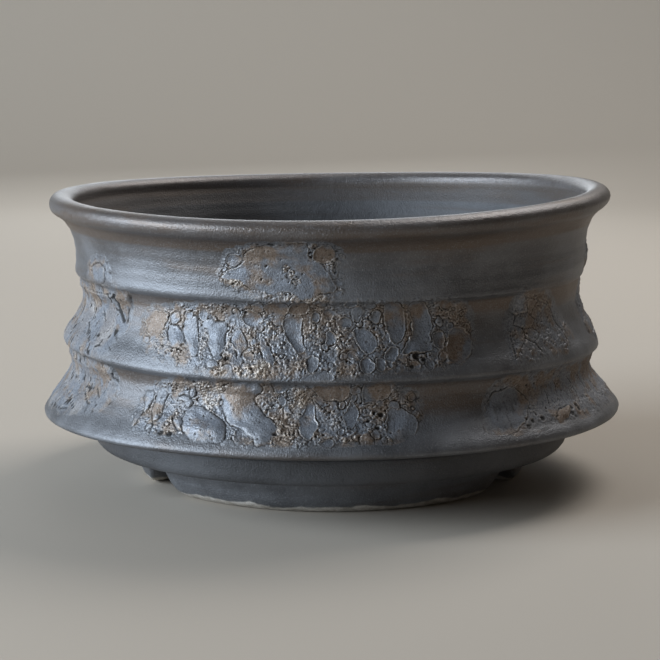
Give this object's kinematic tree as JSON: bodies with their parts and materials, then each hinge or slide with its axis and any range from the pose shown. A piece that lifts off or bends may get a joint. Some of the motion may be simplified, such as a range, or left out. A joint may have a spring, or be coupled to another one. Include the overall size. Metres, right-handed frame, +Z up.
{
  "type": "flower pot",
  "caption": "Low round stoneware flower pot with flared ridges, a rolled lip, notched feet, a drain hole and patches of crackled slip.",
  "frame": {"origin": "on the ground under the middle of the pot", "axes": "+Z up through the drain hole, -Y towards the front foot"},
  "size_m": [0.15, 0.15, 0.074],
  "materials": {
    "dark_glaze": "dark gunmetal glaze, semi-matte, browner where it thins over edges",
    "foot_clay": "dark glaze down to an uneven line, bare grey clay on the sole",
    "crackled_slip": "blistered and crackled slip with golden-brown beads under a thin dark glaze"
  },
  "bodies": {
    "root": {"pot_wall": "dark_glaze", "floor_slab": "dark_glaze", "foot_front": "foot_clay", "foot_rear_right": "foot_clay", "foot_rear_left": "foot_clay", "crust_lower_front": "crackled_slip", "crust_lower_right": "crackled_slip", "crust_lower_back": "crackled_slip", "crust_lower_left": "crackled_slip", "crust_upper_front": "crackled_slip", "crust_upper_right": "crackled_slip", "crust_upper_back": "crackled_slip", "crust_upper_left": "crackled_slip", "crust_collar_front": "crackled_slip", "crust_collar_right": "crackled_slip", "crust_collar_back": "crackled_slip", "crust_collar_left": "crackled_slip"}
  },
  "joints": []
}
